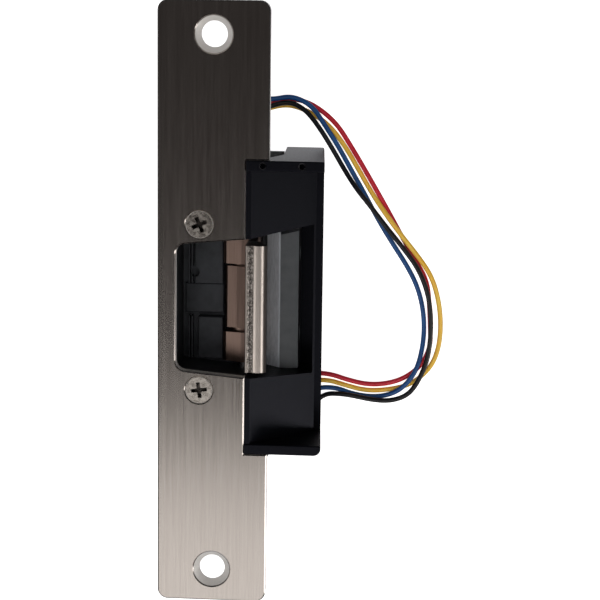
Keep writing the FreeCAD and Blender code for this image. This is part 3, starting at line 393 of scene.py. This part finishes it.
# --- leads ---------------------------------------------------------------------------------------
STRANDS = 7
STRAND_R = 0.14 * MM
STRAND_OFFSET = 0.29 * MM      # from the tip's middle to an outer strand's
STRAND_SIDES = 8
TIP_STEPS = 16
TIP_TURNS = 1.1
TIP_REACH = 6 * MM
TIP_OVERLAP = 0.4 * MM         # how far the strands start inside the sleeve
LAY = -36.25             # height of a lead's middle where it lies on the floor, in millimetres
OVER = -34.15            # and where it passes over another lead
EXIT = (40.0, -31.0)     # y and z of the grommet's inner face, in millimetres
# Control points in millimetres, from beyond the grommet to the stripped end.
ROUTES = {
    "blue": [
        (1.55, 47.5, -31.0), (3.4, 54.0, -31.8), (8.0, 57.4, -33.4), (13.3, 56.7, OVER),
        (19.3, 58.0, OVER), (25.3, 55.2, OVER), (29.2, 49.4, OVER), (33.4, 42.8, -35.4),
        (37.2, 35.9, LAY), (41.4, 28.7, LAY), (45.3, 21.5, LAY), (49.8, 14.3, LAY),
        (54.5, 7.3, LAY), (57.8, 1.2, LAY), (59.8, -5.8, LAY), (60.4, -13.2, LAY),
        (59.6, -20.2, -35.3), (57.9, -25.6, OVER), (54.3, -30.4, OVER), (49.9, -33.1, -35.25),
        (44.6, -34.0, LAY), (38.7, -33.2, LAY), (33.5, -31.3, LAY), (27.4, -31.6, LAY),
        (24.2, -35.6, LAY), (22.8, -41.0, LAY), (19.9, -45.4, LAY), (14.4, -48.0, LAY),
        (9.6, -52.0, LAY), (7.6, -58.6, LAY), (7.2, -66.8, LAY)],
    "red": [
        (3.45, 47.5, -31.0), (5.4, 53.4, -33.6), (13.1, 56.3, LAY), (19.1, 57.1, LAY),
        (25.4, 55.5, LAY), (32.3, 50.2, LAY), (37.0, 43.1, LAY), (41.4, 35.9, LAY),
        (45.6, 28.8, LAY), (49.6, 21.9, LAY), (53.6, 14.7, LAY), (57.5, 8.3, LAY),
        (60.8, 2.6, LAY), (61.7, -4.5, LAY), (62.1, -11.3, LAY), (62.4, -17.5, LAY),
        (60.1, -23.2, LAY), (55.5, -27.4, LAY), (50.0, -29.6, LAY), (43.6, -30.2, LAY),
        (37.4, -28.9, LAY), (31.5, -27.0, LAY), (24.6, -27.0, LAY), (20.2, -32.0, LAY),
        (19.4, -39.6, LAY), (15.6, -43.4, LAY), (8.8, -46.0, LAY), (4.2, -50.6, LAY),
        (2.4, -56.0, LAY), (1.8, -60.4, LAY)],
    "yellow": [
        (5.35, 47.5, -31.0), (7.8, 52.2, -34.4), (13.2, 54.4, LAY), (18.6, 55.2, LAY),
        (24.0, 53.3, LAY), (30.1, 49.6, LAY), (35.2, 43.1, LAY), (39.5, 35.9, LAY),
        (43.7, 28.8, -36.0), (48.5, 22.2, OVER), (53.1, 16.2, OVER), (58.1, 10.2, OVER),
        (62.3, 4.2, OVER), (64.6, -3.6, -35.2), (65.4, -11.5, LAY), (64.8, -18.7, LAY),
        (62.4, -24.6, LAY), (56.9, -29.7, LAY), (50.0, -31.6, LAY), (43.0, -32.1, LAY),
        (36.8, -30.6, LAY), (31.3, -29.0, LAY), (25.6, -29.4, LAY), (22.2, -34.0, LAY),
        (21.0, -40.2, LAY), (17.6, -44.6, LAY), (11.4, -47.2, LAY), (6.9, -51.4, LAY),
        (5.0, -57.8, LAY), (4.5, -63.8, LAY)],
    "black": [
        (7.25, 47.5, -31.0), (9.4, 53.0, -32.4), (13.3, 55.0, OVER), (18.7, 56.2, OVER),
        (23.2, 54.0, OVER), (27.0, 49.5, OVER), (31.2, 42.8, -35.4), (35.2, 35.8, LAY),
        (39.0, 30.4, OVER), (43.2, 25.4, OVER), (47.9, 19.4, OVER), (53.4, 12.8, OVER),
        (58.0, 6.8, OVER), (61.1, -0.4, OVER), (62.3, -7.8, OVER), (62.3, -15.5, OVER),
        (61.4, -22.1, OVER), (58.7, -28.7, OVER), (55.6, -32.9, OVER), (50.2, -34.7, OVER),
        (44.7, -34.4, OVER), (39.7, -33.4, OVER), (35.1, -33.0, -35.0), (30.4, -33.4, LAY),
        (26.8, -36.6, LAY), (25.2, -41.8, LAY), (22.0, -46.7, LAY), (16.4, -49.3, LAY),
        (12.0, -53.0, LAY), (10.1, -60.2, LAY), (9.6, -76.0, LAY)],
}


def lead_points(colour):
    """The lead's route in metres, from the grommet's inner face."""
    first = (ROUTES[colour][0][0],) + EXIT
    return [Vector(point) * MM for point in [first] + ROUTES[colour]]


def lead_curve(colour, diameter):
    """A round lead on one smooth spline through its route."""
    data = bpy.data.curves.new(f"lead_{colour}_sleeve", "CURVE")
    data.dimensions = "3D"
    data.bevel_depth = diameter / 2
    data.bevel_resolution = 4
    data.resolution_u = 10
    data.use_fill_caps = True
    points = lead_points(colour)
    spline = data.splines.new("NURBS")
    spline.points.add(len(points) - 1)
    for slot, point in zip(spline.points, points):
        slot.co = (*point, 1.0)
    spline.order_u = 3
    spline.use_endpoint_u = True
    lead = bpy.data.objects.new(data.name, data)
    bpy.context.scene.collection.objects.link(lead)
    return lead


def link_mesh(name, mesh_maker, material=None):
    """A mesh object from a bmesh that mesh_maker fills."""
    made = bmesh.new()
    mesh_maker(made)
    data = bpy.data.meshes.new(name)
    made.to_mesh(data)
    made.free()
    for polygon in data.polygons:
        polygon.use_smooth = True
    if material:
        data.materials.append(material)
    thing = bpy.data.objects.new(name, data)
    bpy.context.scene.collection.objects.link(thing)
    return thing


def twisted_tip(colour):
    """The stripped end: tinned strands with a slight twist, at the lead's far end."""
    low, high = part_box(f"tip_{colour}")
    before, end = lead_points(colour)[-2:]
    along = (end - before).normalized()
    reach = min((high - low).length, TIP_REACH)
    side = along.cross(Vector((0, 0, 1))).normalized()
    up = side.cross(along)

    def around(centre, angle, radius):
        return centre + (side * math.cos(angle) + up * math.sin(angle)) * radius

    def fill(mesh):
        for i in range(STRANDS):
            offset = 0.0 if i == STRANDS - 1 else STRAND_OFFSET
            rings = []
            for step in range(TIP_STEPS + 1):
                share = step / TIP_STEPS
                turned = math.tau * (i / (STRANDS - 1) + TIP_TURNS * share)
                centre = around(end + along * (reach * share - TIP_OVERLAP), turned, offset)
                rings.append([mesh.verts.new(around(centre, math.tau * k / STRAND_SIDES, STRAND_R))
                              for k in range(STRAND_SIDES)])
            for ring, following in zip(rings, rings[1:]):
                for k in range(STRAND_SIDES):
                    after = (k + 1) % STRAND_SIDES
                    mesh.faces.new((ring[k], ring[after], following[after], following[k]))
            mesh.faces.new(list(reversed(rings[0])))
            mesh.faces.new(rings[-1])
    return link_mesh(f"tip_{colour}_strands", fill)


# --- settings ------------------------------------------------------------------------------------
class StrikeLeadSettings(bpy.types.PropertyGroup):
    diameter: FloatProperty(name="Lead diameter", description="Outside of the insulation",
                            default=1.5 * MM, unit="LENGTH")


class StrikeStageSettings(bpy.types.PropertyGroup):
    floor: FloatVectorProperty(name="Floor", description="Colour of the light table",
                               subtype="COLOR", size=4, default=(1.0, 1.0, 1.0, 1.0),
                               min=0.0, max=1.0)
    key: FloatProperty(name="Key light",
                       description="Power of the large soft light beyond the lower end",
                       default=10.6, unit="POWER")
    fill: FloatProperty(name="Fill light",
                        description="Power of the overhead light that metal does not mirror",
                        default=7.0, unit="POWER")


# --- operators -----------------------------------------------------------------------------------
class STRIKE_OT_stage(bpy.types.Operator):
    """Camera, floor and lights"""
    bl_idname = "strike.stage"
    bl_label = "Stage"

    def execute(self, context):
        scene = context.scene
        data = bpy.data.cameras.new("camera")
        data.lens = CAMERA_LENS
        data.sensor_width = 36.0
        data.clip_start = 0.01
        camera = bpy.data.objects.new("camera", data)
        yaw, pitch, roll = CAMERA_TURNS
        tilt = (Matrix.Rotation(yaw, 4, "Y") @ Matrix.Rotation(pitch, 4, "X")
                @ Matrix.Rotation(roll, 4, "Z"))
        camera.matrix_world = Matrix.Translation(CAMERA_PLACE) @ tilt
        scene.collection.objects.link(camera)
        scene.camera = camera
        floor_z = BODY_LOW.z - FLOOR_GAP

        def fill(mesh):
            bmesh.ops.create_grid(mesh, x_segments=1, y_segments=1, size=FLOOR_HALF,
                                  matrix=Matrix.Translation((0, 0, floor_z)))
        floor = link_mesh("floor", fill, floor_finish(scene.strike_stage.floor))
        floor.visible_glossy = False
        floor.visible_diffuse = False
        scene.view_settings.view_transform = "Standard"
        studio_world(scene)
        panel_light("key", (0.0, -1.26, 1.5), (0.0, -1.26, 0.0), (1.6, 1.6),
                    scene.strike_stage.key)
        panel_light("lip_side", (1.0, -0.42, 0.15), (0.02, -0.02, 0.0), (0.32, 0.4), 2.0)
        panel_light("lip_high", (0.82, -0.25, 0.57), (0.0, 0.0, 0.0), (0.25, 0.25), 1.0)
        panel_light("closed_side", (-0.75, -0.4, 0.9), (0.0, 0.0, 0.0), (0.4, 0.3), 1.5)
        panel_light("glint", (-0.25, 0.35, 0.9), (0.0, 0.0, 0.0), (0.16, 0.16), 0.35)
        fill_light = panel_light("fill", (0.05, 0.1, 1.5), (0.0, 0.0, 0.0), (1.2, 1.2),
                                 scene.strike_stage.fill)
        fill_light.visible_glossy = False
        return {"FINISHED"}


def studio_world(scene):
    """A studio that is dark overhead and white below the horizon."""
    world = bpy.data.worlds.new("studio")
    scene.world = world
    world.use_nodes = True
    tree = world.node_tree
    tree.nodes.clear()
    height = spread(tree, axis_of(tree, "Z", "Generated"), 0.0, 1.0, -1.0, 1.0)
    glow = ramp(tree, height, [(0.0, (1.0, 1.0, 1.03, 1)), (0.42, (0.1, 0.1, 0.105, 1)),
                               (0.55, (0.035, 0.035, 0.037, 1)), (1.0, (0.035, 0.031, 0.030, 1))])
    background = add_node(tree, "ShaderNodeBackground", {"Strength": 1.0}, {"Color": glow})
    output = add_node(tree, "ShaderNodeOutputWorld")
    tree.links.new(background.outputs["Background"], output.inputs["Surface"])


def panel_light(name, place, aim, size, power):
    """A soft box that faces aim."""
    data = bpy.data.lights.new(name, "AREA")
    data.shape = "RECTANGLE"
    data.size, data.size_y = size
    data.energy = power
    data.color = LAMP_TINT
    lamp = bpy.data.objects.new(name, data)
    lamp.location = place
    lamp.rotation_euler = (Vector(place) - Vector(aim)).to_track_quat("Z", "Y").to_euler()
    bpy.context.scene.collection.objects.link(lamp)
    return lamp


class STRIKE_OT_leads(bpy.types.Operator):
    """The four loose leads with their stripped ends"""
    bl_idname = "strike.leads"
    bl_label = "Leads"

    def execute(self, context):
        diameter = context.scene.strike_leads.diameter
        skins = {"blue": ("#184a86", "#1f5a9c"), "red": ("#cc1c30", "#dd2840"),
                 "yellow": ("#ffc440", "#ffd354"), "black": ("#121216", "#1c1c21")}
        tinned = bright_steel("tinned_copper_strands", "#a7a59f", "#cbc8c0")
        for colour in LEAD_COLOURS:
            lead = lead_curve(colour, diameter)
            skin = moulded(f"pvc_insulation_{colour}", *skins[colour], rough=(0.3, 0.42))
            lead.data.materials.append(skin)
            tip = twisted_tip(colour)
            tip.data.materials.append(tinned)
            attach(lead, "housing")
            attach(tip, "housing")
            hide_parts(f"lead_{colour}")
            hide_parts(f"tip_{colour}")
        return {"FINISHED"}


class STRIKE_OT_finishes(bpy.types.Operator):
    """Material of every part that keeps its own shape"""
    bl_idname = "strike.finishes"
    bl_label = "Finishes"

    def execute(self, context):
        steel = bright_steel("zinc_plated_screw", "#8f8984", "#b5aea8")
        oxide = bright_steel("black_oxide_pin_steel", "#3c3c40", "#5a5a5f")
        ground = bright_steel("ground_pin_steel", "#8d8d8f", "#b9b9bb")
        wire = bright_steel("music_wire", "#5d5d62", "#86868b")
        sheet = bright_steel("zinc_plated_sheet", "#8b8d90", "#aeb0b2", rough=(0.28, 0.42))
        bronze = bright_steel("sintered_bronze", "#7a5a30", "#a07c46", rough=(0.4, 0.55))
        black_pvc = moulded("pvc_tail_black", "#121216", "#1c1c21")
        rest = {
            "body_screws": screw_with_shaded_recess(), "cover_screws": steel, "saddle_screws": steel,
            "solenoid_screws": steel,
            "roll_pins": oxide, "keeper_pin": ground, "lever_pin": ground, "plunger_pin": ground,
            "keeper_spring": wire, "plunger_spring": wire, "back_cover": sheet, "locking_lever": sheet,
            "solenoid_frame": sheet, "solenoid_core": sheet, "plunger": sheet, "keeper_bushes": bronze,
            "coil_winding": enamelled_winding(), "coil_tails": black_pvc,
            "coil_tape": moulded("polyester_tape", "#b88f20", "#cda63a", rough=(0.2, 0.3)),
            "coil_bobbin": moulded("nylon_66_bobbin", "#d6d3c8", "#e2dfd6"),
            "terminal_board": moulded("fr4_board", "#1c4d2c", "#276238"),
            "lead_grommet": moulded("nitrile_grommet", "#111113", "#1b1b1e", rough=(0.55, 0.7)),
        }
        for name, maker in FINISHES.items():
            rest[name] = maker()
        for name, finish in rest.items():
            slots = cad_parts[name].data.materials
            slots.clear()
            slots.append(finish)
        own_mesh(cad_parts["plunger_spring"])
        return {"FINISHED"}


class STRIKE_PT_panel(bpy.types.Panel):
    """Shows the strike's operators and its lead and stage settings"""
    bl_idname = "STRIKE_PT_panel"
    bl_label = "Electric strike"
    bl_space_type = "VIEW_3D"
    bl_region_type = "UI"
    bl_category = "Strike"

    def draw(self, context):
        for operator in OPERATORS:
            self.layout.operator(operator.bl_idname)
        self.layout.prop(context.scene.strike_leads, "diameter")
        for name in ("floor", "key", "fill"):
            self.layout.prop(context.scene.strike_stage, name)


OPERATORS = (STRIKE_OT_stage, STRIKE_OT_leads, STRIKE_OT_finishes)
CLASSES = (StrikeLeadSettings, StrikeStageSettings) + OPERATORS + (STRIKE_PT_panel,)


def register():
    """Registers the classes and hangs the settings on the scene."""
    for cls in CLASSES:
        bpy.utils.register_class(cls)
    bpy.types.Scene.strike_leads = PointerProperty(type=StrikeLeadSettings)
    bpy.types.Scene.strike_stage = PointerProperty(type=StrikeStageSettings)


def unregister():
    """Takes the settings and the classes away again."""
    del bpy.types.Scene.strike_stage
    del bpy.types.Scene.strike_leads
    for cls in reversed(CLASSES):
        bpy.utils.unregister_class(cls)


def main():
    """Makes every piece and the stage."""
    register()
    for operator in OPERATORS:
        module, name = operator.bl_idname.split(".")
        getattr(getattr(bpy.ops, module), name)()
    bpy.context.view_layer.update()


if __name__ == "__main__":
    main()
